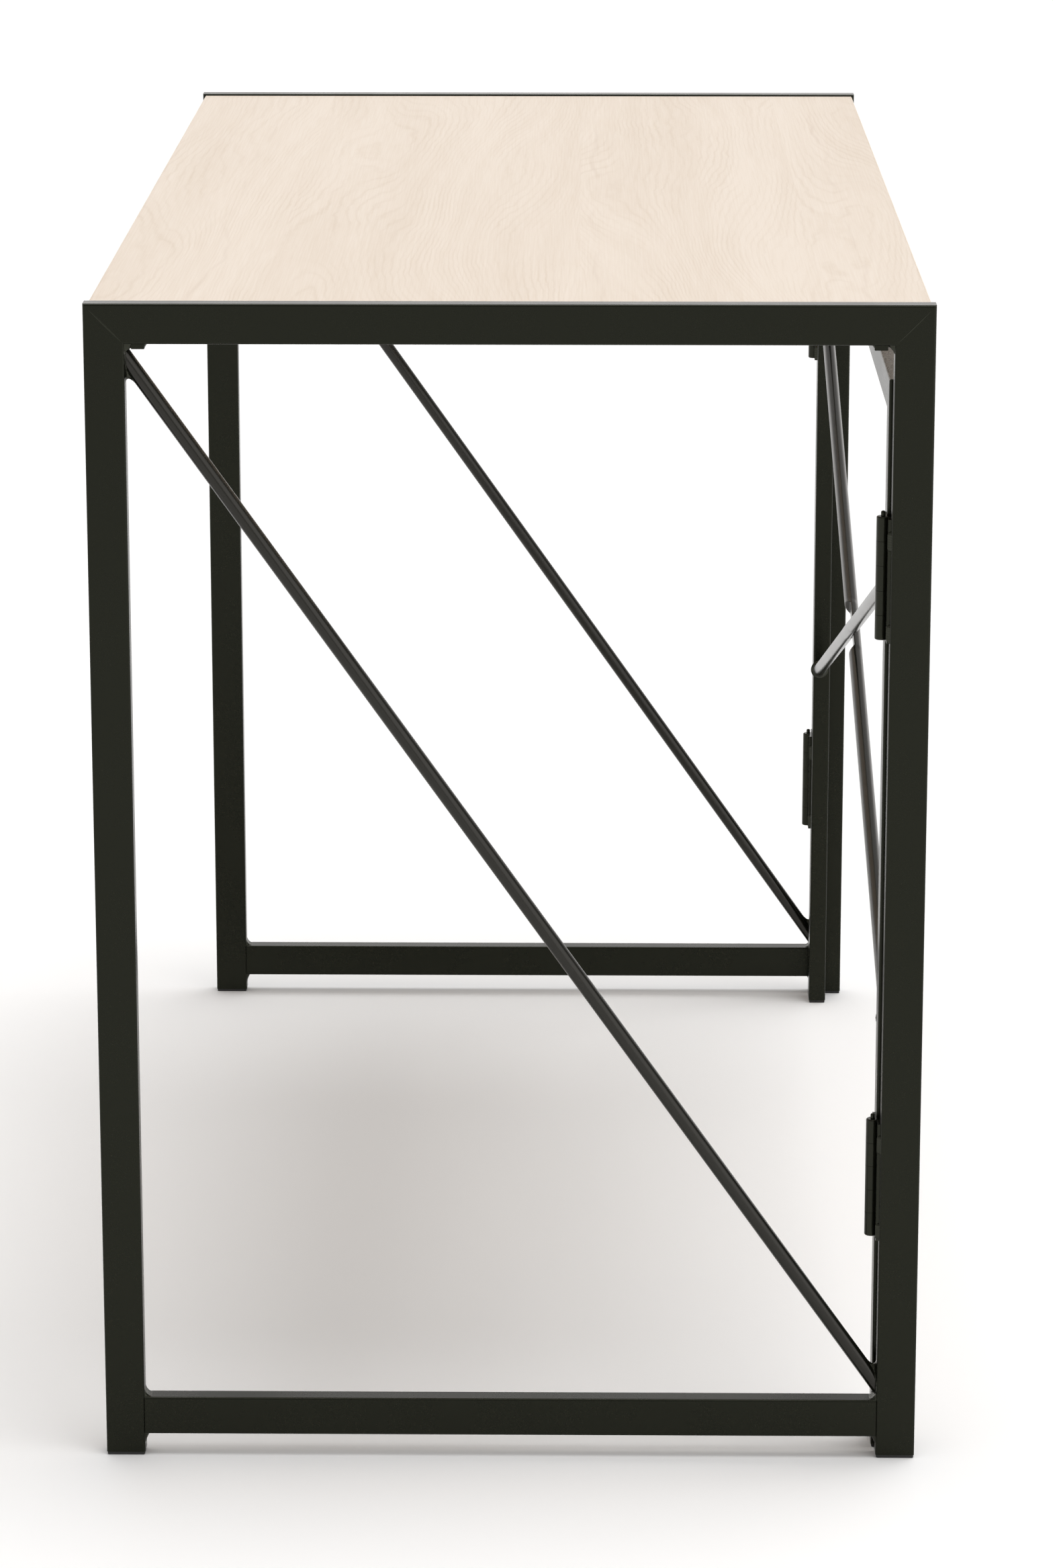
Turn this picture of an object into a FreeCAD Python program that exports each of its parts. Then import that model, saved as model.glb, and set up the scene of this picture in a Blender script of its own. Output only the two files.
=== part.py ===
import FreeCAD, Part
import os
import re
import Sketcher

# Folding gateleg table: two gate-like side frames hinged to a rear frame, and a loose top that
# drops in between their top rails. Millimetres. X runs along the table, the front is at -Y, and
# Z is up from the floor.

DIMENSIONS = [
    ("length", 1000, "over the outer faces of the side frames"),
    ("depth", 500, "front to back of a side frame"),
    ("height", 720, "floor to the top of the side rails"),
    ("tube_face", 24, "wide side of the side-frame tube"),
    ("tube_thick", 13, "narrow side of the side-frame tube, along X"),
    ("tube_wall", 1.2, "wall of every rectangular tube"),
    ("tube_edge", 1.3, "outside corner radius of the tubes"),
    ("stretcher_low", 14, "floor to the underside of the stretcher"),
    ("rod_radius", 4.6, "round tube of the braces"),
    ("rod_wall", 1, "wall of the round tube"),
    ("brace_top", 687.9, "height where a diagonal brace meets the front leg"),
    ("brace_foot", 46.7, "height where a diagonal brace meets the rear leg"),
    ("hinge_gap", 5, "side frame to rear upright, along X"),
    ("rear_wide", 21, "wide side of the rear-frame tube"),
    ("rear_deep", 13, "narrow side of the rear-frame tube, along Y"),
    ("rear_front", 224, "front face of the rear frame from the middle of the table"),
    ("rear_height", 673, "floor to the top of the rear frame"),
    ("cross_high", 550, "upper ends of the crossed braces"),
    ("cross_low", 273, "lower ends of the crossed braces"),
    ("cross_split", 1.7, "front brace's axis in front of the back brace's"),
    ("cross_flat", 34, "half length of the pressed zone where the braces cross"),
    ("cross_slope", 5, "slope at each end of the pressed zone"),
    ("barrel_radius", 4, "hinge knuckles"),
    ("barrel_tall", 75, "hinge height"),
    ("barrel_edge", 0.9, "rounding of a hinge barrel's two ends"),
    ("barrel_front", 2.4, "hinge pin axis in front of the rear frame's front face"),
    ("knuckle_gap", 0.2, "running gap at each end of a moving knuckle"),
    ("leaf_thick", 2, "hinge leaf plate"),
    ("leaf_wide", 12.5, "hinge leaf, from the pin axis outwards"),
    ("knuckle_room", 0.4, "running gap between a knuckle and the other leaf"),
    ("pin_radius", 1.4, "hinge pin"),
    ("pin_play", 0.05, "radial clearance of a pin in its knuckles"),
    ("pin_proud", 3.2, "pin standing out above its hinge"),
    ("pin_dome", 1.1, "rounding of the pin's upper end"),
    ("hinge_low", 141, "floor to the bottom of the lower hinges"),
    ("hinge_high", 516.5, "floor to the bottom of the upper hinges"),
    ("tab_thick", 3, "support tab plate"),
    ("tab_wide", 8, "support tab along the depth"),
    ("tab_gap", 4, "support tab to the leg beside it"),
    ("tab_reach", 25, "support tab inwards from the rail"),
    ("tab_set", 1, "support tab back from the rail's outer face"),
    ("tab_edge", 0.5, "eased edges of a support tab"),
    ("board_thick", 22.5, "loose top"),
    ("board_rest", 0.3, "running gap between the support tabs and the top"),
    ("board_side", 1, "gap at each end of the top"),
    ("board_inset", 2, "setback of each long edge of the top"),
    ("band_thick", 1, "edge band"),
    ("glide_thick", 2, "foot glide below the tube end"),
    ("glide_stem", 12, "foot glide inside the tube"),
    ("glide_inset", 0.4, "foot glide set back from the tube face"),
    ("glide_play", 0.05, "glide stem inside the tube's bore"),
    ("glide_edge", 0.8, "rounding of a glide's pad"),
    ("margin", 10, "overrun of cutting tools"),
]
ALIASES = {name for name, value, note in DIMENSIONS}

doc = FreeCAD.newDocument("gateleg_table")
sheet = doc.addObject("Spreadsheet::Sheet", "dims")
for row, (name, value, note) in enumerate(DIMENSIONS, start=1):
    sheet.set("A%d" % row, name)
    sheet.set("B%d" % row, str(value))
    sheet.set("C%d" % row, note)
    sheet.setAlias("B%d" % row, name)
doc.recompute()

START_SIZE, START_INSET = 8.0, 2.0  # a sketch's sides before its constraints take their sizes
CLOSE = 1e-4
X_AXIS, Y_AXIS = FreeCAD.Vector(1, 0, 0), FreeCAD.Vector(0, 1, 0)
NODES = []
PLANES = {"X": ("YZ_Plane", (1, 2, 0), False), "Y": ("XZ_Plane", (0, 2, 1), True),
          "Z": ("XY_Plane", (0, 1, 2), False)}


def linked(text):
    """Write every sheet alias in an expression in full."""
    def full(word):
        return "dims." + word.group(0) if word.group(0) in ALIASES else word.group(0)
    return re.sub(r"[a-z_]+", full, text)


def bind(thing, **sizes):
    for prop, text in sizes.items():
        thing.setExpression(prop, linked(text))


def place(thing, x, y, z, axis=None, angle=None):
    """Bind a primitive's corner or foot, and its turn about one axis."""
    if axis:
        thing.Placement = FreeCAD.Placement(FreeCAD.Vector(), FreeCAD.Rotation(axis, 1.0))
        thing.setExpression("Placement.Rotation.Angle", linked(angle))
    for key, text in zip("xyz", (x, y, z)):
        thing.setExpression("Placement.Base." + key, linked(text))
    return thing


def box(name, at, size, axis=None, angle=None):
    thing = doc.addObject("Part::Box", name)
    bind(thing, Length=size[0], Width=size[1], Height=size[2])
    return place(thing, *at, axis=axis, angle=angle)


def cylinder(name, at, radius, tall, axis=None, angle=None):
    thing = doc.addObject("Part::Cylinder", name)
    bind(thing, Radius=radius, Height=tall)
    return place(thing, *at, axis=axis, angle=angle)


def cut(name, base, *tools):
    for number, tool in enumerate(tools, start=1):
        step = doc.addObject("Part::Cut", name if number == len(tools) else "%s_%d" % (name, number))
        step.Base, step.Tool, base = base, tool, step
    return base


def fuse(name, *shapes):
    thing = doc.addObject("Part::MultiFuse", name)
    thing.Shapes = list(shapes)
    thing.Refine = True
    return thing


def common(name, first, second):
    thing = doc.addObject("Part::Common", name)
    thing.Base, thing.Tool = first, second
    return thing


def node(label, thing):
    """Name a finished sub-part; it is exported under this label."""
    thing.Label = label
    NODES.append((label, thing))
    return thing


def rectangle(sketch, tag, corner, size):
    """Rectangle from a corner at or right of the sketch origin, every size bound to the sheet."""
    first = sketch.GeometryCount
    inset = START_INSET if corner else 0
    ends = (inset, inset + START_SIZE)
    points = [FreeCAD.Vector(ends[a], ends[b], 0) for a, b in ((0, 0), (1, 0), (1, 1), (0, 1))]
    for start in range(4):
        sketch.addGeometry(Part.LineSegment(points[start], points[(start + 1) % 4]), False)
    for start in range(4):
        sketch.addConstraint(Sketcher.Constraint("Coincident", first + start, 2, first + (start + 1) % 4, 1))
        direction = "Vertical" if start % 2 else "Horizontal"
        sketch.addConstraint(Sketcher.Constraint(direction, first + start))
    rules = [("DistanceX", "wide", (first, 1, first, 2), size[0], START_SIZE),
             ("DistanceY", "tall", (first + 1, 1, first + 1, 2), size[1], START_SIZE)]
    if corner:
        rules += [("DistanceX", "left", (-1, 1, first, 1), corner[0], inset),
                  ("DistanceY", "low", (-1, 1, first, 1), corner[1], inset)]
    else:
        sketch.addConstraint(Sketcher.Constraint("Coincident", first, 1, -1, 1))
    for kind, word, refs, text, value in rules:
        index = sketch.addConstraint(Sketcher.Constraint(kind, *refs, value))
        sketch.renameConstraint(index, tag + "_" + word)
        sketch.setExpression("Constraints.%s_%s" % (tag, word), linked(text))


def profile(body, name, axis, at):
    """Sketch on the body's own origin plane across an axis, with its origin moved to a point."""
    role, order, backwards = PLANES[axis]
    sketch = body.newObject("Sketcher::SketchObject", name)
    plane = next(item for item in body.Origin.OriginFeatures if item.Role == role)
    sketch.AttachmentSupport = (plane, [""])
    sketch.MapMode = "FlatFace"
    for key, index in zip("xyz", order):
        text = at[index]
        if backwards and key == "z":
            text = "-(%s)" % text
        sketch.setExpression("AttachmentOffset.Base." + key, linked(text))
    return sketch


def long_edges(shape, axis):
    """Names of the outside edges that run along an axis at the corners of the bounding box."""
    bound = shape.BoundBox
    limits = {"X": (bound.XMin, bound.XMax), "Y": (bound.YMin, bound.YMax), "Z": (bound.ZMin, bound.ZMax)}
    found = []
    for number, edge in enumerate(shape.Edges, start=1):
        corners = [vertex.Point for vertex in edge.Vertexes]
        across = [key for key in "XYZ" if key != axis]
        outside = all(min(abs(getattr(p, key.lower()) - limit) for limit in limits[key]) < CLOSE
                      for p in corners for key in across)
        straight = all(abs(getattr(corners[0], key.lower()) - getattr(corners[-1], key.lower())) < CLOSE
                       for key in across)
        if len(corners) == 2 and outside and straight:
            found.append("Edge%d" % number)
    return found


def prism(name, axis, at, size, hollow=True, edge="tube_edge"):
    """Straight tube or bar along an axis: section sketch, pad and rounded long edges."""
    body = doc.addObject("PartDesign::Body", name)
    across = {"X": (1, 2), "Y": (0, 2), "Z": (0, 1)}[axis]
    wide, tall = size[across[0]], size[across[1]]
    sketch = profile(body, name + "_section", axis, at)
    rectangle(sketch, "outer", None, (wide, tall))
    if hollow:
        rectangle(sketch, "inner", ("tube_wall", "tube_wall"),
                  (wide + " - 2 * tube_wall", tall + " - 2 * tube_wall"))
    pad = body.newObject("PartDesign::Pad", name + "_pad")
    pad.Profile = sketch
    pad.Reversed = axis == "Y"
    bind(pad, Length=size["XYZ".index(axis)])
    doc.recompute()
    if edge:
        fillet = body.newObject("PartDesign::Fillet", name + "_edges")
        fillet.Base = (pad, long_edges(pad.Shape, axis))
        bind(fillet, Radius=edge)
    doc.recompute()
    return body


def mitre(name, turn, angle, across, corner):
    """Half-space tool for a 45 degree cut: a box turned about X or Y from a corner of its plane."""
    reach = "2 * tube_face + 4 * margin"
    low, wide = across
    if turn == X_AXIS:
        return box(name, (low, corner[0], corner[1]), (wide, reach, reach), turn, str(angle))
    return box(name, (corner[0], low, corner[1]), (reach, wide, reach), turn, str(angle))


def side_frame(side, sign):
    """Gate-like side frame: two mitred legs, top rail, stretcher, diagonal brace and support tabs."""
    x_low = "length / 2 - tube_thick" if sign > 0 else "-length / 2"
    across = ("%s - margin" % x_low, "tube_thick + 2 * margin")
    front, back = "-depth / 2", "depth / 2 - tube_face"
    leg_size = ("tube_thick", "tube_face", "height - glide_thick")
    tube = prism(side + "_front_tube", "Z", (x_low, front, "glide_thick"), leg_size)
    tool = mitre(side + "_front_leg_mitre", X_AXIS, 45, across,
                 ("-depth / 2 + tube_face + margin", "height - tube_face - margin"))
    node(side + "_front_leg", cut(side + "_front_leg_cut", tube, tool))
    tube = prism(side + "_back_tube", "Z", (x_low, back, "glide_thick"), leg_size)
    tool = mitre(side + "_rear_leg_mitre", X_AXIS, 135, across, ("depth / 2 + margin", "height + margin"))
    node(side + "_rear_leg", cut(side + "_rear_leg_cut", tube, tool))

    tube = prism(side + "_rail_tube", "Y", (x_low, front, "height - tube_face"),
                 ("tube_thick", "depth", "tube_face"))
    first = mitre(side + "_rail_mitre_front", X_AXIS, 225, across, ("-depth / 2 - margin", "height + margin"))
    second = mitre(side + "_rail_mitre_back", X_AXIS, 315, across,
                   ("depth / 2 - tube_face - margin", "height - tube_face - margin"))
    node(side + "_top_rail", cut(side + "_rail_cut", tube, first, second))
    node(side + "_stretcher", prism(side + "_stretcher_tube", "Y",
                                    (x_low, "-depth / 2 + tube_face", "stretcher_low"),
                                    ("tube_thick", "depth - 2 * tube_face", "tube_face")))

    run, rise = "(depth - 2 * tube_face)", "(brace_top - brace_foot)"
    slope = "atan(%s / %s)" % (run, rise)
    middle = x_low + " + tube_thick / 2"
    foot = (middle, "%s / 2 + 2 * margin * sin(%s)" % (run, slope),
            "brace_foot - 2 * margin * cos(%s)" % slope)
    span = "sqrt(%s^2 + %s^2) + 4 * margin" % (run, rise)
    skin = cylinder(side + "_brace_skin", foot, "rod_radius", span, X_AXIS, slope)
    bore = cylinder(side + "_brace_bore", foot, "rod_radius - rod_wall", span, X_AXIS, slope)
    inside = box(side + "_brace_span", (x_low, "-depth / 2 + tube_face", "0"),
                 ("tube_thick", "depth - 2 * tube_face", "height"))
    node(side + "_diagonal_brace",
         common(side + "_brace_trim", cut(side + "_brace_tube", skin, bore), inside))

    tab_x = "length / 2 - tube_thick - tab_reach" if sign > 0 else "-length / 2 + tab_set"
    tab_size = ("tab_reach + tube_thick - tab_set", "tab_wide", "tab_thick")
    tab_z = "height - tube_face - tab_thick"
    for word, tab_y in (("front", "-depth / 2 + tube_face + tab_gap"),
                        ("rear", "depth / 2 - tube_face - tab_gap - tab_wide")):
        node("%s_support_tab_%s" % (side, word),
             prism("%s_tab_%s" % (side, word), "X", (tab_x, tab_y, tab_z), tab_size, False, "tab_edge"))

    feet = [foot_glide("%s_glide_%s" % (side, word), (x_low, y_low), ("tube_thick", "tube_face"))
            for word, y_low in (("front", front), ("rear", back))]
    node(side + "_foot_glides", compound(side + "_glides", feet))


def foot_glide(name, corner, size):
    """Plastic end plug: a pad under the tube end with a stem up its bore."""
    pad = box(name + "_pad", (corner[0] + " + glide_inset", corner[1] + " + glide_inset", "0"),
              (size[0] + " - 2 * glide_inset", size[1] + " - 2 * glide_inset", "glide_thick"))
    eased = doc.addObject("Part::Fillet", name + "_eased")
    doc.recompute()
    eased.Base = pad
    radius = sheet.get("glide_edge")
    eased.Edges = [(number, radius, radius) for number, edge in enumerate(pad.Shape.Edges, start=1)
                   if all(abs(vertex.Point.z) < CLOSE for vertex in edge.Vertexes)
                   or abs(edge.Vertexes[0].Point.z - edge.Vertexes[1].Point.z) > CLOSE]
    inner = "tube_wall + glide_play"
    stem = box(name + "_stem", (corner[0] + " + " + inner, corner[1] + " + " + inner, "glide_thick"),
               (size[0] + " - 2 * (%s)" % inner, size[1] + " - 2 * (%s)" % inner, "glide_stem"))
    return fuse(name, eased, stem)


def compound(name, shapes):
    thing = doc.addObject("Part::Compound", name)
    thing.Links = list(shapes)
    return thing


def hinge(side, sign, level, low):
    """Five-knuckle butt hinge: the odd knuckles and one leaf on the rear frame, the rest on the gate."""
    name = "%s_%s" % (side, level)
    axis_x = "%s(length / 2 - tube_thick - hinge_gap / 2)" % ("" if sign > 0 else "-")
    axis_y = "rear_front - barrel_front"
    at = (axis_x, axis_y)
    pitch = "barrel_tall / 5"

    def knuckles(word, picks, gap, radius):
        return [cylinder("%s_%s_%d" % (name, word, number),
                         (axis_x, axis_y, "%s + %d * %s + %s" % (low, number, pitch, gap)),
                         radius, "%s - 2 * %s" % (pitch, gap)) for number in picks]

    def rounded(barrel, upper, edge_alias):
        """Round one end of an upright cylinder."""
        thing = doc.addObject("Part::Fillet", barrel.Name + "_rounded")
        doc.recompute()
        thing.Base = barrel
        bound, radius = barrel.Shape.BoundBox, sheet.get(edge_alias)
        end = bound.ZMax if upper else bound.ZMin
        thing.Edges = [(number, radius, radius) for number, edge in enumerate(barrel.Shape.Edges, start=1)
                       if edge.Closed and abs(edge.BoundBox.ZMin - end) < CLOSE
                       and abs(edge.BoundBox.ZMax - end) < CLOSE]
        return thing

    hole = cylinder(name + "_hole", at + ("%s - margin" % low,), "pin_radius + pin_play",
                    "barrel_tall + 2 * margin")
    inward, outward = ("-leaf_wide", "0") if sign > 0 else ("0", "-leaf_wide")
    plate = box(name + "_fixed_plate", ("%s + (%s)" % (axis_x, inward), "rear_front - leaf_thick", low),
                ("leaf_wide", "leaf_thick", "barrel_tall"))
    bottom, middle, top = knuckles("fixed", (0, 2, 4), "0", "barrel_radius")
    fixed = fuse(name + "_fixed_body", plate, rounded(bottom, False, "barrel_edge"), middle,
                 rounded(top, True, "barrel_edge"))
    room = knuckles("moving_room", (1, 3), "0", "barrel_radius + knuckle_room")
    node(name + "_hinge_fixed_leaf", cut(name + "_fixed_leaf_cut", fixed, hole, *room))

    plate = box(name + "_moving_plate",
                ("%s + (%s)" % (axis_x, outward), "depth / 2 - tube_face - leaf_thick", low),
                ("leaf_wide", "leaf_thick", "barrel_tall"))
    moving = fuse(name + "_moving_body", plate, *knuckles("moving", (1, 3), "knuckle_gap", "barrel_radius"))
    room = knuckles("fixed_room", (0, 2, 4), "0", "barrel_radius + knuckle_room")
    node(name + "_hinge_moving_leaf", cut(name + "_moving_leaf_cut", moving, hole, *room))

    shank = cylinder(name + "_pin_shank", at + (low,), "pin_radius", "barrel_tall + pin_proud")
    node(name + "_hinge_pin", rounded(shank, True, "pin_dome"))


def press(name, lean, slope, lap_y):
    """Tool that flattens one side of a crossed brace over its middle, with sloped ends."""
    tilt = "(%s(90 deg - %s))" % ("-" if lean > 0 else "", slope)
    tall = "4 * rod_radius"
    middle = "(cross_high + cross_low) / 2"
    corner = ("-cross_flat * cos(%s) - 2 * rod_radius * sin(%s)" % (tilt, tilt),
              "%s - rear_deep" % lap_y if lean < 0 else lap_y,
              "%s + cross_flat * sin(%s) - 2 * rod_radius * cos(%s)" % (middle, tilt, tilt))
    block = box(name + "_block", corner, ("2 * cross_flat", "rear_deep", tall), Y_AXIS, tilt)
    doc.recompute()
    bound = block.Shape.BoundBox
    face_y = bound.YMax if lean < 0 else bound.YMin
    eased = doc.addObject("Part::Chamfer", name)
    eased.Base = block
    upright = block.Placement.Rotation.multVec(FreeCAD.Vector(0, 0, 1))
    depth = sheet.get("cross_slope")
    eased.Edges = [(number, depth, depth) for number, edge in enumerate(block.Shape.Edges, start=1)
                   if all(abs(vertex.Point.y - face_y) < CLOSE for vertex in edge.Vertexes)
                   and abs(abs(edge.tangentAt(edge.FirstParameter).dot(upright)) - 1) < CLOSE]
    return eased


def rear_frame():
    """Rear frame: two uprights to the floor, a mitred top rail and crossed round braces."""
    across = ("rear_front - margin", "rear_deep + 2 * margin")
    outer = "length / 2 - tube_thick - hinge_gap"
    size = ("rear_wide", "rear_deep", "rear_height - glide_thick")
    for side, x_low, angle, corner in (
            ("right", outer + " - rear_wide", 225, (outer + " + margin", "rear_height + margin")),
            ("left", "-(%s)" % outer, -45, ("-(%s) + rear_wide + margin" % outer,
                                            "rear_height - rear_wide - margin"))):
        tube = prism(side + "_upright_tube", "Z", (x_low, "rear_front", "glide_thick"), size)
        tool = mitre(side + "_upright_mitre", Y_AXIS, angle, across, corner)
        node("rear_upright_" + side, cut(side + "_upright_cut", tube, tool))
    tube = prism("rear_rail_tube", "X", ("-(%s)" % outer, "rear_front", "rear_height - rear_wide"),
                 ("2 * (%s)" % outer, "rear_deep", "rear_wide"))
    right = mitre("rear_rail_mitre_right", Y_AXIS, 45, across,
                  (outer + " - rear_wide - margin", "rear_height - rear_wide - margin"))
    left = mitre("rear_rail_mitre_left", Y_AXIS, 135, across,
                 ("-(%s) - margin" % outer, "rear_height + margin"))
    node("rear_top_rail", cut("rear_rail_cut", tube, right, left))

    inner = "(%s - rear_wide)" % outer
    rise = "(cross_high - cross_low)"
    span = "sqrt((2 * %s)^2 + %s^2) + 4 * margin" % (inner, rise)
    slope = "atan(2 * %s / %s)" % (inner, rise)
    reach = "(%s + 2 * margin * sin(%s))" % (inner, slope)
    lap_y = "(rear_front + (rear_deep - cross_split) / 2)"
    for name, lean in (("cross_brace_front", 1), ("cross_brace_back", -1)):
        sign = "" if lean > 0 else "-"
        axis_y = lap_y + (" - cross_split / 2" if lean > 0 else " + cross_split / 2")
        start = ("-" if lean > 0 else "") + reach
        foot = (start, axis_y, "cross_low - 2 * margin * cos(%s)" % slope)
        skin = cylinder(name + "_skin", foot, "rod_radius", span, Y_AXIS, sign + slope)
        bore = cylinder(name + "_bore", foot, "rod_radius - rod_wall", span, Y_AXIS, sign + slope)
        slab = ("rear_deep + 2 * margin", "height")
        solid_zone = box(name + "_solid_zone", ("-cross_flat", "rear_front - margin", "0"),
                         ("2 * cross_flat",) + slab)
        tube = cut(name + "_tube", skin, cut(name + "_bores", bore, solid_zone))
        between = box(name + "_span", ("-%s" % inner, "rear_front - margin", "0"), ("2 * %s" % inner,) + slab)
        trimmed = common(name + "_trim", tube, between)
        node(name, cut(name + "_lap", trimmed, press(name + "_press", lean, slope, lap_y)))

    feet = [foot_glide(side + "_upright_glide", (x_low, "rear_front"), ("rear_wide", "rear_deep"))
            for side, x_low in (("right", outer + " - rear_wide"), ("left", "-(%s)" % outer))]
    node("rear_foot_glides", compound("rear_glides", feet))


def tabletop():
    """Loose top: a laminated board with a band glued on each edge."""
    half_x = "(length / 2 - tube_thick - board_side)"
    half_y = "(depth / 2 - board_inset)"
    low = "height - tube_face + board_rest"
    core_x, core_y = "(%s - band_thick)" % half_x, "(%s - band_thick)" % half_y
    node("tabletop_board", box("board_core", ("-" + core_x, "-" + core_y, low),
                               ("2 * " + core_x, "2 * " + core_y, "board_thick")))
    for word, y_low in (("front", "-" + half_y), ("rear", half_y + " - band_thick")):
        node("tabletop_band_" + word, box("band_" + word, ("-" + half_x, y_low, low),
                                          ("2 * " + half_x, "band_thick", "board_thick")))
    for word, x_low in (("left", "-" + half_x), ("right", half_x + " - band_thick")):
        node("tabletop_band_" + word, box("band_" + word, (x_low, "-" + core_y, low),
                                          ("band_thick", "2 * " + core_y, "board_thick")))


rear_frame()
for side, sign in (("right", 1), ("left", -1)):
    side_frame(side, sign)
    hinge(side, sign, "lower", "hinge_low")
    hinge(side, sign, "upper", "hinge_high")
tabletop()
doc.recompute()

for thing in doc.Objects:
    if "Invalid" in thing.State or "Error" in thing.State:
        raise RuntimeError("%s is %s" % (thing.Name, thing.State))
os.makedirs("parts", exist_ok=True)
for label, thing in NODES:
    shape = thing.Shape
    if shape.isNull() or not shape.isValid() or not shape.Solids:
        raise RuntimeError("%s has no valid solid" % label)
    shape.exportStep("parts/%s.step" % label)
    bound = shape.BoundBox
    print("%-30s solids %d  volume %10.1f  x %.1f..%.1f  y %.1f..%.1f  z %.1f..%.1f" % (
        label, len(shape.Solids), shape.Volume, bound.XMin, bound.XMax, bound.YMin, bound.YMax,
        bound.ZMin, bound.ZMax))
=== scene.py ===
import math

import bmesh
import bpy
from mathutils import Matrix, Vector


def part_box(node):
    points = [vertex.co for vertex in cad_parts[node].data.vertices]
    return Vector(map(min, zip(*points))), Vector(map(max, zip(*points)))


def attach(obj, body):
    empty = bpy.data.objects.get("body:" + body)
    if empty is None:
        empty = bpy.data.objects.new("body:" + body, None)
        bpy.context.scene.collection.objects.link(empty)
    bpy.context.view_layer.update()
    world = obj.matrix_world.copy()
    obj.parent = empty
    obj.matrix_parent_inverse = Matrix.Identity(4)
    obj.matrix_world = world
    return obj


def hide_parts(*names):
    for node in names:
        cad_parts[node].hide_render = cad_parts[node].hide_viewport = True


# Looks for the folding gateleg table: satin black steel frames with welded joints and hinges, and a
# pale maple laminate top. Metres, in the CAD frame: X along the table, front at -Y, Z up.

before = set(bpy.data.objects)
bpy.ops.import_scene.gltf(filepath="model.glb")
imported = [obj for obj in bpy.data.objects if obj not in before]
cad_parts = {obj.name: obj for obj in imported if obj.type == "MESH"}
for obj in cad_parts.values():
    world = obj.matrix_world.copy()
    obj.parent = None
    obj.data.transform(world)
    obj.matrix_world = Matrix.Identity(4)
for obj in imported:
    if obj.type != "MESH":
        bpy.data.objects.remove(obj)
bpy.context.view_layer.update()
scene = bpy.context.scene
MM = 0.001
SIDES = (("right", 1), ("left", -1))
X, Y, Z = Vector((1, 0, 0)), Vector((0, 1, 0)), Vector((0, 0, 1))
SHARP, SQUARE = math.radians(50), math.radians(60)  # edges that turn more than these stay crisp
TINY = 1e-6

SENSOR_MM, LENS_MM = 36.0, 119.6
CAMERA_PLACE = (3.5158, 0.0454, 1.2178)
CAMERA_PITCH, CAMERA_YAW = math.radians(14.63), math.radians(0.67)

FLOOR_REACH, FLOOR_WHITE = 40.0, 0.93
STUDIO_WHITE = (1.0, 0.98, 0.965, 1)
WORLD_BASE, WORLD_FAR, WORLD_WALL = 0.45, 0.22, 0.85
FAR_POWER, WALL_TOP = 1.6, (0.20, 0.42)
KEY_ENERGY, KEY_SPREAD, KEY_TURN = 1.85, math.radians(42), (math.radians(-9), math.radians(-3), 0)
SOFTBOX_POWER, SOFTBOX_SIZE = 45.0, (4.0, 3.0)
SOFTBOX_PLACE, SOFTBOX_AIM = Vector((3.5, 3.1, 1.6)), Vector((0, 0, 0.4))


# ---------------------------------------------------------------- camera, floor and light
def make_camera():
    """Beyond the right side frame and above the table, looking along it and down."""
    data = bpy.data.cameras.new("camera")
    data.sensor_width = SENSOR_MM
    data.lens = LENS_MM
    cam = bpy.data.objects.new("camera", data)
    scene.collection.objects.link(cam)
    cam.location = CAMERA_PLACE
    level = math.cos(CAMERA_PITCH)
    ahead = Vector((-level * math.cos(CAMERA_YAW), -level * math.sin(CAMERA_YAW),
                    -math.sin(CAMERA_PITCH)))
    cam.rotation_mode = "QUATERNION"
    cam.rotation_quaternion = ahead.to_track_quat("-Z", "Y")
    scene.camera = cam


def make_floor():
    """A wide sheet of pale matt paper."""
    mesh = bpy.data.meshes.new("floor")
    corners = [(x * FLOOR_REACH, y * FLOOR_REACH, 0) for x, y in ((-1, -1), (1, -1), (1, 1), (-1, 1))]
    mesh.from_pydata(corners, [], [(0, 1, 2, 3)])
    floor = bpy.data.objects.new("floor", mesh)
    paper = bpy.data.materials.new("floor_paper")
    paper.use_nodes = True
    shader = paper.node_tree.nodes["Principled BSDF"]
    shader.inputs["Base Color"].default_value = (FLOOR_WHITE, FLOOR_WHITE, FLOOR_WHITE, 1)
    shader.inputs["Roughness"].default_value = 0.9
    shader.inputs["Specular IOR Level"].default_value = 0.1
    mesh.materials.append(paper)
    scene.collection.objects.link(floor)


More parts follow.
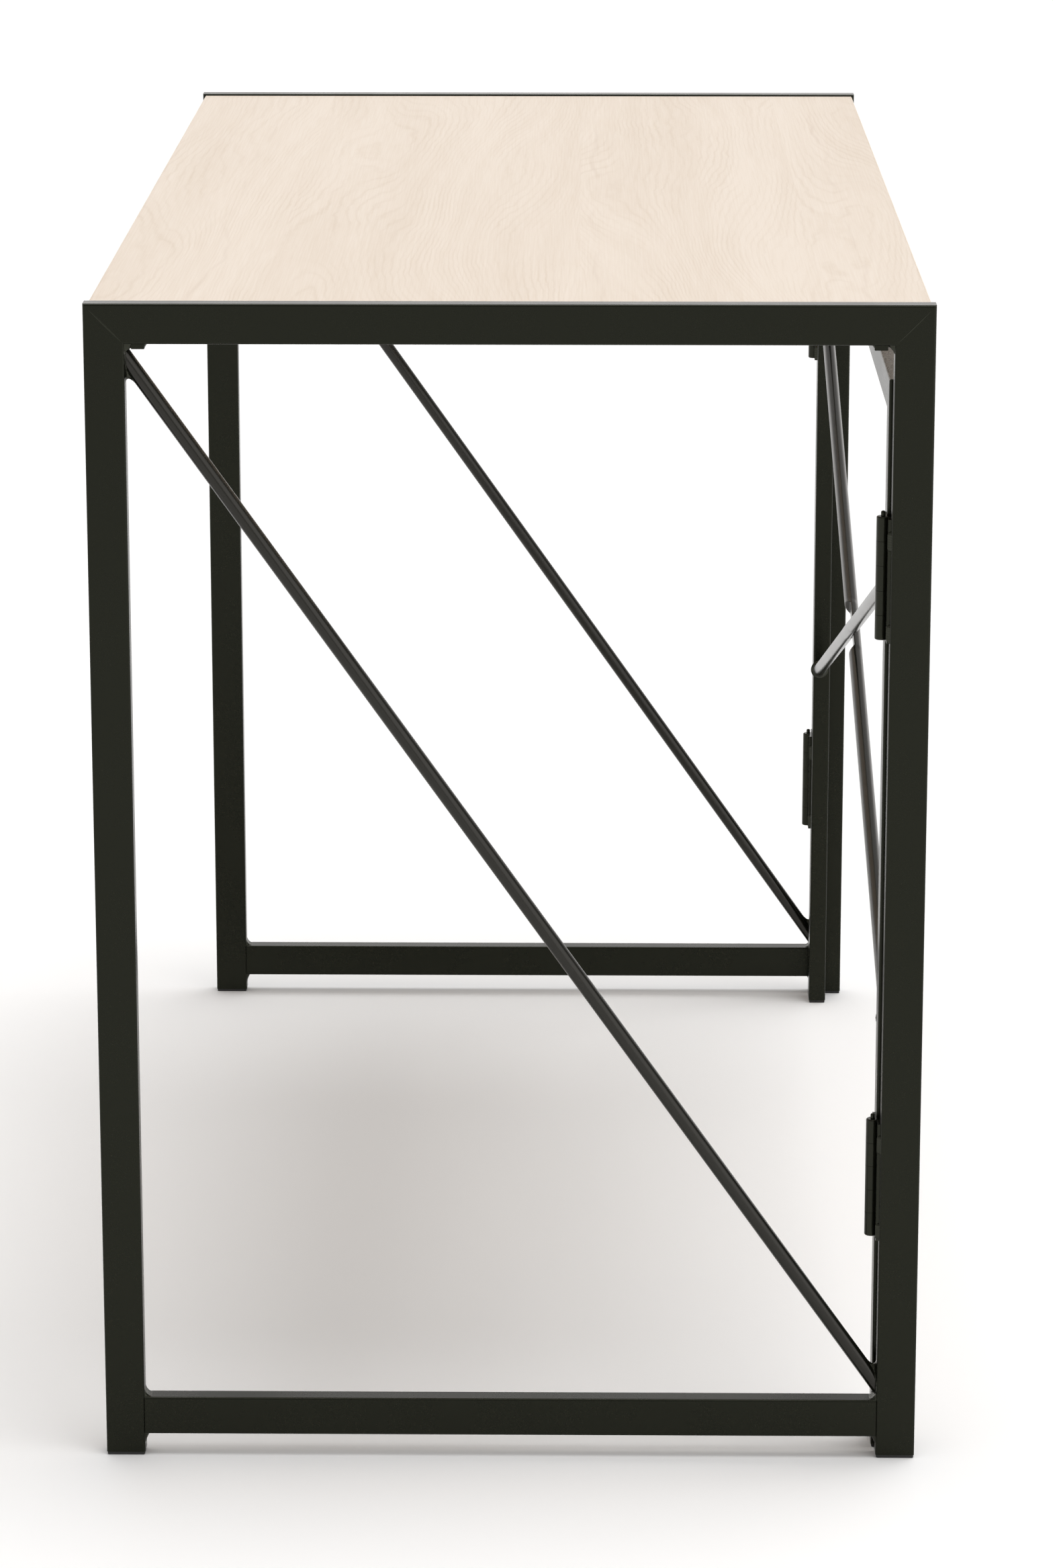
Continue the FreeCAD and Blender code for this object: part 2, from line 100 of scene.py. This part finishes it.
def make_light():
    """Plain soft studio light: a pale room with a bright low wall beyond the table's far end, a wide
    soft key from above, and a large weak softbox beside the camera, on the rear frame's side."""
    world = bpy.data.worlds.new("studio")
    scene.world = world
    world.use_nodes = True
    tree = world.node_tree

    def add(kind, *values, operation=None):
        node = tree.nodes.new("ShaderNode" + kind)
        if operation:
            node.operation = operation
        for index, value in enumerate(values):
            if isinstance(value, bpy.types.NodeSocket):
                tree.links.new(value, node.inputs[index])
            else:
                node.inputs[index].default_value = value
        return node

    split = add("SeparateXYZ", add("TexCoord").outputs["Generated"])
    to_far_end = add("Math", split.outputs["X"], -0.5, 0.5, operation="MULTIPLY_ADD").outputs[0]
    far = add("Math", to_far_end, FAR_POWER, operation="POWER").outputs[0]
    height = add("Math", split.outputs["Z"], operation="ABSOLUTE").outputs[0]
    low = add("MapRange", height, *WALL_TOP, 1.0, 0.0)
    low.interpolation_type = "SMOOTHSTEP"
    wall = add("Math", far, low.outputs["Result"], operation="MULTIPLY").outputs[0]
    level = add("Math", far, WORLD_FAR, WORLD_BASE, operation="MULTIPLY_ADD").outputs[0]
    level = add("Math", wall, WORLD_WALL, level, operation="MULTIPLY_ADD").outputs[0]
    back = tree.nodes["Background"]
    back.inputs["Color"].default_value = STUDIO_WHITE
    tree.links.new(level, back.inputs["Strength"])

    key = bpy.data.lights.new("soft_key", "SUN")
    key.energy = KEY_ENERGY
    key.angle = KEY_SPREAD
    lamp = bpy.data.objects.new("soft_key", key)
    lamp.rotation_euler = KEY_TURN
    scene.collection.objects.link(lamp)

    softbox = bpy.data.lights.new("softbox", "AREA")
    softbox.shape = "RECTANGLE"
    softbox.size, softbox.size_y = SOFTBOX_SIZE
    softbox.energy = SOFTBOX_POWER
    lamp = bpy.data.objects.new("softbox", softbox)
    lamp.location = SOFTBOX_PLACE
    lamp.rotation_mode = "QUATERNION"
    lamp.rotation_quaternion = (SOFTBOX_AIM - lamp.location).to_track_quat("-Z", "Y")
    lamp.visible_camera = False
    scene.collection.objects.link(lamp)
    scene.view_settings.view_transform = "Standard"


# ---------------------------------------------------------------- materials
STEEL_DARK, STEEL_LIGHT = (0.0034, 0.0038, 0.0022), (0.0048, 0.0052, 0.0032)
COAT_TINT, ROD_TINT = (0.96, 1.0, 0.78), (1.0, 0.96, 0.90)
PATCHES, MOTTLE, ORANGE_PEEL, GRIT = 22.0, 420.0, 620.0, 2600.0  # noise scales, per metre
PLASTIC_DARK, PLASTIC_LIGHT = (0.008, 0.008, 0.008), (0.014, 0.014, 0.013)
PLASTIC_GRAIN, PLASTIC_RELIEF = 1500.0, 0.00004

MAPLE_LIGHT, MAPLE_DARK, MAPLE_LINE = (0.735, 0.635, 0.535), (0.650, 0.540, 0.432), (0.55, 0.43, 0.33)
STAVE_EDGES = (-0.148, 0.041, 0.186)  # across the top, metres
VEINS = ((-0.186, 3.0), (0.052, 11.0), (0.213, 23.0))  # place across the top, and seed
VEIN_WANDER, VEIN_CORE, VEIN_EDGE = 0.045, 0.0004, 0.0022
RINGS, RING_SWAY, RING_RIPPLE = 215.0, 46.0, 1.2  # rings per metre, and how far the figure moves them
WOOD_RELIEF = 0.00007


class Graph:
    """A material's node tree, with short ways to add what the surfaces here use."""

    def __init__(self, name):
        self.material = bpy.data.materials.new(name)
        self.material.use_nodes = True
        self.tree = self.material.node_tree
        self.shader = self.tree.nodes["Principled BSDF"]
        self.where = self.add("TexCoord").outputs["Object"]

    def add(self, kind, sockets=None, **settings):
        node = self.tree.nodes.new("ShaderNode" + kind)
        for key, value in settings.items():
            setattr(node, key, value)
        for key, value in (sockets or {}).items():
            self.feed(node.inputs[key], value)
        return node

    def feed(self, socket, value):
        if isinstance(value, bpy.types.NodeSocket):
            self.tree.links.new(value, socket)
        else:
            socket.default_value = value

    def math(self, operation, *values):
        return self.add("Math", dict(enumerate(values)), operation=operation).outputs[0]

    def noise(self, where, detail, roughness=0.5, scale=1.0):
        return self.add("TexNoise", {"Vector": where, "Scale": scale, "Detail": detail,
                                     "Roughness": roughness}).outputs["Fac"]

    def join(self, x, y, z=0.0):
        return self.add("CombineXYZ", {"X": x, "Y": y, "Z": z}).outputs[0]

    def map(self, value, low, high, to_low, to_high):
        return self.add("MapRange", {"Value": value, "From Min": low, "From Max": high, "To Min": to_low,
                                     "To Max": to_high}).outputs["Result"]

    def mix(self, amount, first, second):
        node = self.add("Mix", data_type="RGBA")
        self.feed(node.inputs["Factor"], amount)
        self.feed(node.inputs["A"], (*first, 1) if isinstance(first, tuple) else first)
        self.feed(node.inputs["B"], (*second, 1) if isinstance(second, tuple) else second)
        return node.outputs["Result"]

    def bump(self, height, distance, below=None):
        sockets = {"Height": height, "Distance": distance, "Strength": 1.0}
        if below:
            sockets["Normal"] = below
        return self.add("Bump", sockets).outputs["Normal"]

    def surface(self, **sockets):
        for key, value in sockets.items():
            self.feed(self.shader.inputs[key.replace("_", " ")], value)
        return self.material


def coated_steel(name, gloss, specular, peel, tint=COAT_TINT):
    """Powder coat over steel: near black, satin, with a fine orange peel and slightly uneven gloss.
    gloss is the roughness from lowest to highest, peel the depth of the orange peel in metres."""
    g = Graph(name)
    patches = g.noise(g.where, 2.0, scale=PATCHES)
    mottle = g.noise(g.where, 3.0, 0.6, scale=MOTTLE)
    tone = g.math("ADD", g.math("MULTIPLY", patches, 0.6), g.math("MULTIPLY", mottle, 0.4))
    orange_peel = g.noise(g.where, 1.5, 0.4, scale=ORANGE_PEEL)
    grit = g.noise(g.where, 1.0, 0.5, scale=GRIT)
    height = g.math("ADD", g.math("MULTIPLY", orange_peel, 0.8), g.math("MULTIPLY", grit, 0.2))
    return g.surface(Base_Color=g.mix(tone, STEEL_DARK, STEEL_LIGHT),
                     Roughness=g.map(tone, 0.3, 0.7, *gloss), Specular_IOR_Level=specular,
                     Specular_Tint=(*tint, 1), Normal=g.bump(height, peel))


def moulded_plastic(name):
    """Matt black plastic with a fine moulded grain."""
    g = Graph(name)
    grain = g.noise(g.where, 3.0, 0.6, scale=PLASTIC_GRAIN)
    return g.surface(Base_Color=g.mix(grain, PLASTIC_DARK, PLASTIC_LIGHT),
                     Roughness=g.map(grain, 0.3, 0.7, 0.42, 0.58), Normal=g.bump(grain, PLASTIC_RELIEF))


def maple(name, along_x=True):
    """Pale maple laminate: printed growth rings and pores that follow the length, lightly embossed."""
    g = Graph(name)
    split = g.add("SeparateXYZ", {0: g.where})
    run, across = (split.outputs[axis] for axis in ("XY" if along_x else "YX"))
    up = split.outputs["Z"]
    stave = 0.0
    for edge in STAVE_EDGES:
        stave = g.math("ADD", stave, g.math("GREATER_THAN", across, edge))
    figure = g.noise(g.join(g.math("MULTIPLY_ADD", run, 1.25, g.math("MULTIPLY", stave, 3.17)),
                            g.math("MULTIPLY_ADD", across, 8.5, g.math("MULTIPLY", stave, 1.93)),
                            g.math("MULTIPLY", up, 4.0)), 1.6, 0.42)
    ripple = g.noise(g.join(g.math("MULTIPLY", run, 26.0), g.math("MULTIPLY", across, 60.0)), 2.0)
    rings = g.math("ADD", g.math("MULTIPLY_ADD", across, RINGS, g.math("MULTIPLY", figure, RING_SWAY)),
                   g.math("MULTIPLY", ripple, RING_RIPPLE))
    wave = g.math("MULTIPLY_ADD", g.math("SINE", g.math("MULTIPLY", rings, 2 * math.pi)), 0.5, 0.5)
    ring_line = g.math("POWER", wave, 4.0)
    broad = g.math("MULTIPLY_ADD", g.math("SINE", g.math("MULTIPLY", rings, 0.37 * math.pi)), 0.5, 0.5)
    fade = g.noise(g.join(g.math("MULTIPLY", run, 5.0), g.math("MULTIPLY", across, 24.0), stave), 2.0)
    shown_line = g.math("MULTIPLY", ring_line, g.map(fade, 0.38, 0.62, 0.15, 1.0))
    fibre = g.noise(g.join(g.math("MULTIPLY", run, 14.0), g.math("MULTIPLY", across, 900.0)), 3.0, 0.6)
    tone = g.noise(g.join(g.math("MULTIPLY_ADD", run, 0.9, g.math("MULTIPLY", stave, 5.3)),
                          g.math("MULTIPLY", across, 15.0)), 2.0)
    pore_cells = g.noise(g.join(g.math("MULTIPLY", run, 90.0), g.math("MULTIPLY", across, 1500.0)), 1.0)
    pores = g.map(pore_cells, 0.64, 0.74, 0.0, 1.0)

    veins = 0.0
    for place, seed in VEINS:
        wander = g.noise(g.join(g.math("MULTIPLY", run, 5.0), seed), 2.0, 0.5)
        middle = g.math("MULTIPLY_ADD", wander, VEIN_WANDER, place - VEIN_WANDER / 2)
        offset = g.math("SUBTRACT", across, middle)
        near = g.map(g.math("ABSOLUTE", offset), VEIN_CORE, VEIN_EDGE, 1.0, 0.0)
        veins = g.math("MAXIMUM", veins, near)
    faint = g.map(g.noise(g.join(g.math("MULTIPLY", run, 9.0), g.math("MULTIPLY", across, 9.0)), 1.0),
                  0.40, 0.68, 0.05, 1.0)
    veins = g.math("MULTIPLY", veins, faint)

    amount = g.math("MULTIPLY", shown_line, 0.27)
    for part, share in ((broad, 0.10), (fibre, 0.34), (tone, 0.70), (pores, 0.10)):
        amount = g.math("ADD", amount, g.math("MULTIPLY", part, share))
    colour = g.mix(g.map(amount, 0.45, 0.99, 0.0, 1.0), MAPLE_LIGHT, MAPLE_DARK)
    colour = g.mix(g.math("MULTIPLY", veins, 0.34), colour, MAPLE_LINE)
    relief = g.math("MULTIPLY_ADD", shown_line, -0.45,
                    g.math("MULTIPLY_ADD", pores, -0.35, g.math("MULTIPLY", fibre, 0.3)))
    relief = g.math("MULTIPLY_ADD", veins, -0.15, relief)
    return g.surface(Base_Color=colour, Roughness=g.map(fibre, 0.3, 0.7, 0.40, 0.52),
                     Specular_IOR_Level=0.42, Normal=g.bump(relief, WOOD_RELIEF))


finish = {
    "black_powder_coat": coated_steel("satin_black_coat", (0.25, 0.31), 0.22, 0.000008),
    "hinge_black": coated_steel("hinge_black_coat", (0.22, 0.28), 0.3, 0.000006),
    "black_plastic": moulded_plastic("glide_plastic"),
    "maple_laminate": maple("maple_board"),
    "maple_edge_band": maple("maple_band"),
    "maple_end_band": maple("maple_end_band", along_x=False),
    "rod": coated_steel("rod_coat", (0.20, 0.24), 0.42, 0.000003, ROD_TINT),
    "weld": coated_steel("coated_weld", (0.20, 0.27), 0.4, 0.00001),
}


def coat_cad_nodes():
    """Every CAD solid that stays in view gets its finish; the round braces have a smoother coat."""
    for name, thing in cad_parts.items():
        kind = "black_powder_coat"
        if "hinge" in name:
            kind = "hinge_black"
        elif "glides" in name:
            kind = "black_plastic"
        thing.data.materials.clear()
        thing.data.materials.append(finish["rod" if "diagonal_brace" in name else kind])


# ---------------------------------------------------------------- mesh helpers
class Shells:
    """Closed lofted shells that together make one piece."""

    def __init__(self):
        self.points, self.faces = [], []

    def loft(self, rings, closed=False):
        start, size, count = len(self.points), len(rings[0]), len(rings)
        for ring in rings:
            self.points += [tuple(point) for point in ring]
        for here in range(count if closed else count - 1):
            there = (here + 1) % count
            for k in range(size):
                m = (k + 1) % size
                self.faces.append((start + here * size + k, start + here * size + m,
                                   start + there * size + m, start + there * size + k))
        if not closed:
            self.faces.append(tuple(start + k for k in range(size)))
            self.faces.append(tuple(start + (count - 1) * size + k for k in range(size)))

    def piece(self, name, body, slot, material):
        mesh = bpy.data.meshes.new(name)
        mesh.from_pydata(self.points, [], self.faces)
        settle(mesh)
        return show(mesh, name, body, material)


def settle(mesh):
    """Turn every face outwards and shade it smooth, with its sharp edges kept."""
    work = bmesh.new()
    work.from_mesh(mesh)
    bmesh.ops.recalc_face_normals(work, faces=work.faces)
    for face in work.faces:
        face.smooth = True
    for edge in work.edges:
        edge.smooth = len(edge.link_faces) != 2 or edge.calc_face_angle(0.0) < SHARP
    work.to_mesh(mesh)
    work.free()


def show(mesh, name, body, material):
    thing = bpy.data.objects.new(name, mesh)
    scene.collection.objects.link(thing)
    mesh.materials.append(material)
    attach(thing, body)
    return thing


# ---------------------------------------------------------------- welds
RIPPLE = 1.5 * MM  # length of one weld scale
ROOT = 0.35 * MM  # how far a bead's back is sunk in the steel
STATION = 0.3 * MM
WELD_INSET = 0.9 * MM
# Fillet welds: legs along and up from the corner in mm, and how hollow the bead is.
STRETCHER_TOP, STRETCHER_UNDER = ((4.2, 4.8), 0.7), ((2.6, 6.5), 0.3)
CORNER_FRONT, CORNER_REAR = ((7.6, 5.4), 0.1), ((4.6, 5.4), 0.3)
TAB_WELD, LEAF_WELD = ((1.8, 2.2), 0.3), ((1.9, 2.3), 0.1)
REAR_CORNER = (2.6, 2.8)
# Welds round a rod's end: leg where it leans away and where it leans in, in mm.
DIAGONAL_WELD, CROSS_WELD = (1.6, 8.0), (2.2, 2.6)
SIDE_MITRE, REAR_MITRE = (0.8 * MM, 0.10 * MM), (0.7 * MM, 0.07 * MM)  # width and height
MITRE_FROM, MITRE_TO = 0.06, 0.86  # from the inner corner, 0, to the outer one, 1
LEAF_STITCHES = ((0.5, 11.5), (-19.0, -7.0))  # from the leaf's foot, and from its top, in mm
CONCAVE = [(math.sin(math.radians(a)), math.cos(math.radians(a))) for a in range(0, 91, 15)]


def bead_section(root, a, b, leg_a, leg_b, hollow=0.45):
    """Section of a fillet weld in the corner between directions a and b, its back sunk in the steel."""
    ring = [root + a * leg_a - b * ROOT]
    for sine, cosine in CONCAVE:
        u = hollow * (1 - sine) + (1 - hollow) * (1 - sine / (sine + cosine))
        v = hollow * (1 - cosine) + (1 - hollow) * (sine / (sine + cosine))
        ring.append(root + a * (leg_a * u) + b * (leg_b * v))
    ring.append(root + b * leg_b - a * ROOT)
    ring.append(root - (a + b) * ROOT)
    return ring


def ripple(distance):
    """Overlapping scales of a weld, as a factor on its size."""
    phase = (distance / RIPPLE) % 1.0
    return 1.0 + 0.10 * (math.sqrt(max(0.0, 1.0 - (2 * phase - 1) ** 2)) - 0.6)


def straight_bead(shells, start, end, a, b, leg_a, leg_b, hollow=0.45):
    """Fillet weld from start to end in the corner between directions a and b, with tapered ends."""
    length = (end - start).length
    count = max(8, int(length / STATION))
    soft = min(1.6 * MM, length / 3)
    rings = []
    for i in range(count + 1):
        along = length * i / count
        to_end = min(along, length - along)
        size = ripple(along) * (0.35 + 0.65 * math.sqrt(min(1.0, to_end / soft)))
        rings.append(bead_section(start.lerp(end, i / count), a, b, leg_a * size, leg_b * size, hollow))
    shells.loft(rings)


def rod_bead(shells, centre, normal, rod, side, radius, obtuse, acute):
    """Weld round a rod's end on a flat face: small where the rod leans away, a web where it leans in."""
    lean = (rod - normal * rod.dot(normal)).normalized()
    long_axis = radius / abs(rod.dot(normal))
    count = 96
    rings = []
    for i in range(count):
        turn = 2 * math.pi * i / count
        spot = centre + side * (radius * math.cos(turn)) + lean * (long_axis * math.sin(turn))
        out = (side * (math.cos(turn) / radius) + lean * (math.sin(turn) / long_axis)).normalized()
        web = max(0.0, out.dot(lean)) ** 4
        size = ripple(turn * radius * 1.2)
        leg = (obtuse + (acute - obtuse) * web) * size
        rings.append(bead_section(spot, out, rod, leg, leg * (1.0 + 0.25 * web), 0.35 + 0.5 * web))
    shells.loft(rings, closed=True)


def mitre_line(shells, inner, outer, normal, width, height):
    """Thin line left on a face where a mitred corner's flush weld was ground."""
    start, end = inner.lerp(outer, MITRE_FROM), inner.lerp(outer, MITRE_TO)
    across = (end - start).normalized().cross(normal)
    count = 40
    rings = []
    for i in range(count + 1):
        spot = start.lerp(end, i / count)
        fade = math.sqrt(max(0.02, math.sin(math.pi * i / count)))
        swell = 1.0 + 0.25 * math.sin(i * 2.3) + 0.15 * math.sin(i * 5.1)
        half, top = width / 2 * fade, height * fade * swell
        rings.append([spot - across * half - normal * ROOT, spot - across * half,
                      spot - across * (half * 0.5) + normal * (top * 0.8), spot + normal * top,
                      spot + across * (half * 0.5) + normal * (top * 0.8), spot + across * half,
                      spot + across * half - normal * ROOT])
    shells.loft(rings)


def rod_axis(low, high, span, radius):
    """Heights of a sloping rod's ends on its axis, from its box and its level span."""
    rise = high - low
    for _ in range(8):
        rise = high - low - 2 * radius * math.hypot(1.0, rise / span)
    middle = (low + high) / 2
    return middle - rise / 2, middle + rise / 2


def side_welds(side, sign):
    """Welds of one side frame: stretcher, mitred corners, diagonal brace and support tabs."""
    shells = Shells()
    rail_low, rail_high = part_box(side + "_top_rail")
    bar_low, bar_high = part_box(side + "_stretcher")
    rod_low, rod_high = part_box(side + "_diagonal_brace")
    left, right = rail_low.x + WELD_INSET, rail_high.x - WELD_INSET
    for end, inward in (("front", 1), ("rear", -1)):
        leg_low, leg_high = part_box("%s_%s_leg" % (side, end))
        face = leg_high.y if inward > 0 else leg_low.y
        for height, up, (legs, hollow) in (
                (bar_high.z, 1, STRETCHER_TOP), (bar_low.z, -1, STRETCHER_UNDER),
                (rail_low.z, -1, CORNER_FRONT if inward > 0 else CORNER_REAR)):
            straight_bead(shells, Vector((left, face, height)), Vector((right, face, height)),
                          Y * inward, Z * up, legs[0] * MM, legs[1] * MM, hollow)
        corner = leg_low.y if inward > 0 else leg_high.y
        for x, out in ((rail_low.x, -1), (rail_high.x, 1)):
            mitre_line(shells, Vector((x, face, rail_low.z)), Vector((x, corner, rail_high.z)),
                       X * out, *SIDE_MITRE)
        tab_low, tab_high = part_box("%s_support_tab_%s" % (side, end))
        ends = sorted((rail_low.x, rail_high.x), key=abs)
        for edge, away in ((tab_low.y, -1), (tab_high.y, 1)):
            straight_bead(shells, Vector((ends[0] + sign * MM, edge, rail_low.z)),
                          Vector((ends[1] - sign * 2 * MM, edge, rail_low.z)),
                          Y * away, -Z, TAB_WELD[0][0] * MM, TAB_WELD[0][1] * MM, TAB_WELD[1])

    radius = (rod_high.x - rod_low.x) / 2
    middle = (rod_high.x + rod_low.x) / 2
    span = bar_high.y - bar_low.y
    foot, head = rod_axis(rod_low.z, rod_high.z, span, radius)
    downward = Vector((0, span, foot - head)).normalized()
    small, web = (leg * MM for leg in DIAGONAL_WELD)
    rod_bead(shells, Vector((middle, bar_low.y, head)), Y, downward, X, radius, small, web)
    rod_bead(shells, Vector((middle, bar_high.y, foot)), -Y, -downward, X, radius, small, web)
    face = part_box(side + "_rear_leg")[0].y
    for level in ("lower", "upper"):
        leaf_low, leaf_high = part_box("%s_%s_hinge_moving_leaf" % (side, level))
        edge = leaf_high.x if sign > 0 else leaf_low.x
        stitch(shells, edge, face, leaf_low.z, leaf_high.z, X * sign)
    shells.piece(side + "_side_welds", side + "_side_frame", "black_powder_coat", finish["weld"])


def stitch(shells, edge, face, low, high, away):
    """Two short welds that hold a hinge leaf's edge to the tube behind it."""
    for base, (bottom, top) in zip((low, high), LEAF_STITCHES):
        straight_bead(shells, Vector((edge, face, base + bottom * MM)),
                      Vector((edge, face, base + top * MM)),
                      away, -Y, LEAF_WELD[0][0] * MM, LEAF_WELD[0][1] * MM, LEAF_WELD[1])


def rear_welds():
    """Welds of the rear frame: mitred corners, crossed braces, and the fixed hinge leaves."""
    shells = Shells()
    rail_low, rail_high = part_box("rear_top_rail")
    for side, sign in SIDES:
        post_low, post_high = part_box("rear_upright_" + side)
        inner, outer = (post_low.x, post_high.x) if sign > 0 else (post_high.x, post_low.x)
        straight_bead(shells, Vector((inner, rail_low.y + WELD_INSET, rail_low.z)),
                      Vector((inner, rail_high.y - WELD_INSET, rail_low.z)),
                      -X * sign, -Z, REAR_CORNER[0] * MM, REAR_CORNER[1] * MM)
        for y, out in ((rail_low.y, -1), (rail_high.y, 1)):
            mitre_line(shells, Vector((inner, y, rail_low.z)), Vector((outer, y, rail_high.z)),
                       Y * out, *REAR_MITRE)
        for level in ("lower", "upper"):
            leaf_low, leaf_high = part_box("%s_%s_hinge_fixed_leaf" % (side, level))
            edge = leaf_low.x if sign > 0 else leaf_high.x
            stitch(shells, edge, post_low.y, leaf_low.z, leaf_high.z, -X * sign)
        for name in ("cross_brace_front", "cross_brace_back"):
            brace = brace_line(name)
            end, other = (brace["right"], brace["left"]) if sign > 0 else (brace["left"], brace["right"])
            rod_bead(shells, end, -X * sign, (other - end).normalized(), Y, brace["radius"],
                     *(leg * MM for leg in CROSS_WELD))
    shells.piece("rear_welds", "rear_frame", "black_powder_coat", finish["weld"])


# ---------------------------------------------------------------- crossed braces
def brace_line(name):
    """Axis, radius and slope of a crossed brace, from its box and the uprights' inner faces."""
    low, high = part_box(name)
    radius, y = (high.y - low.y) / 2, (high.y + low.y) / 2
    left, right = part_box("rear_upright_left")[1].x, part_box("rear_upright_right")[0].x
    bottom, top = rod_axis(low.z, high.z, right - left, radius)
    rises = name.endswith("front")
    return {"radius": radius, "y": y,
            "left": Vector((left, y, bottom if rises else top)),
            "right": Vector((right, y, top if rises else bottom))}


# Pressed zone of a crossed brace: half its flat length, each end's slope, and the edge's softness.
PRESS_FLAT, PRESS_SLOPE, PRESS_SOFT = 29 * MM, 7 * MM, 1.1 * MM
PRESS_BULGE = 0.09  # how much wider the tube gets where it is pressed
LAP_GAP, ROD_SUNK, ROD_SIDES = 0.05 * MM, 0.4 * MM, 40


def pressed_brace(name, mating, lap):
    """Round tube pressed half flat over its middle, where the other brace crosses it."""
    line = brace_line(name)
    start, end, radius = line["left"], line["right"], line["radius"]
    along = (end - start).normalized()
    across = along.cross(Y).normalized()
    length = (end - start).length
    room = abs(lap - line["y"]) - LAP_GAP
    flat, slope, soft = PRESS_FLAT, PRESS_SLOPE, PRESS_SOFT
    stations = [0.0, length]
    stations += [length * i / 12 for i in range(1, 12)
                 if abs(length * (i / 12 - 0.5)) > flat + 2 * slope]
    stations += [length / 2 + sign * (flat - slope + 3.2 * slope * i / 26) for i in range(27)
                 for sign in (-1, 1)] + [length / 2]
    shells, rings = Shells(), []
    for station in sorted(stations):
        away = abs(station - length / 2)
        press = min(1.0, max(0.0, (flat + slope - away) / slope))
        press = press * press * (3 - 2 * press)
        limit = radius + soft + (room - radius - soft) * press
        centre = start + along * station
        ring = []
        for k in range(ROD_SIDES):
            turn = 2 * math.pi * k / ROD_SIDES
            wide = radius * math.sin(turn) * (1 + PRESS_BULGE * press)
            deep = radius * math.cos(turn)
            over = max(0.0, soft - abs(deep - limit)) / soft
            deep = min(deep, limit) - over * over * soft / 4
            spot = centre + across * wide + Y * (mating * deep)
            if station in (0.0, length):
                sunk = (start.x - ROD_SUNK) if station == 0.0 else (end.x + ROD_SUNK)
                spot += along * ((sunk - spot.x) / along.x)
            ring.append(spot)
        rings.append(ring)
    shells.loft(rings)
    piece = shells.piece(name + "_tube", "rear_frame", "black_powder_coat", finish["rod"])
    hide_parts(name)


def crossed_braces():
    """Both braces, each pressed on the side where they meet."""
    front, back = brace_line("cross_brace_front"), brace_line("cross_brace_back")
    lap = (front["y"] + back["y"]) / 2
    pressed_brace("cross_brace_front", 1, lap)
    pressed_brace("cross_brace_back", -1, lap)


# ---------------------------------------------------------------- top
HAIR, ROUND_OFF = 0.12 * MM, 0.7 * MM  # easing of a glued edge, and of a band's free edge


def eased_slab(node, name, material, outer):
    """Board or band with its free long edges rounded and its glued edges kept crisp."""
    low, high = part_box(node)
    middle = (low + high) / 2
    mesh = bpy.data.meshes.new(name)
    work = bmesh.new()
    bmesh.ops.create_cube(work, size=1.0)
    for vertex in work.verts:
        vertex.co = Vector(middle[k] + vertex.co[k] * (high[k] - low[k]) for k in range(3))
    free = []
    if outer:
        reach = max((high - middle).dot(outer), (low - middle).dot(outer))
        free = [edge for edge in work.edges if all(
            abs((vertex.co - middle).dot(outer) - reach) < TINY for vertex in edge.verts)]
    rest = [edge for edge in work.edges if edge not in free]
    if free:
        bmesh.ops.bevel(work, geom=free, offset=ROUND_OFF, segments=4, profile=0.5, affect="EDGES")
        rest = [edge for edge in work.edges if edge.is_valid and edge.calc_face_angle(0.0) > SQUARE]
    bmesh.ops.bevel(work, geom=rest, offset=HAIR, segments=2, profile=0.5, affect="EDGES")
    for face in work.faces:
        face.smooth = True
    for edge in work.edges:
        edge.smooth = edge.calc_face_angle(0.0) < SHARP
    work.to_mesh(mesh)
    work.free()
    piece = show(mesh, name, "tabletop", material)
    weighted = piece.modifiers.new("flat_faces", "WEIGHTED_NORMAL")
    weighted.keep_sharp = True
    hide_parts(node)


def tabletop():
    """Board and its four edge bands."""
    eased_slab("tabletop_board", "tabletop_panel", finish["maple_laminate"], None)
    for word, outer in (("front", -Y), ("rear", Y)):
        eased_slab("tabletop_band_" + word, "edge_band_" + word,
                   finish["maple_edge_band"], outer)
    for word, outer in (("left", -X), ("right", X)):
        eased_slab("tabletop_band_" + word, "edge_band_" + word,
                   finish["maple_end_band"], outer)


make_camera()
make_floor()
make_light()
coat_cad_nodes()
for side, sign in SIDES:
    side_welds(side, sign)
rear_welds()
crossed_braces()
tabletop()
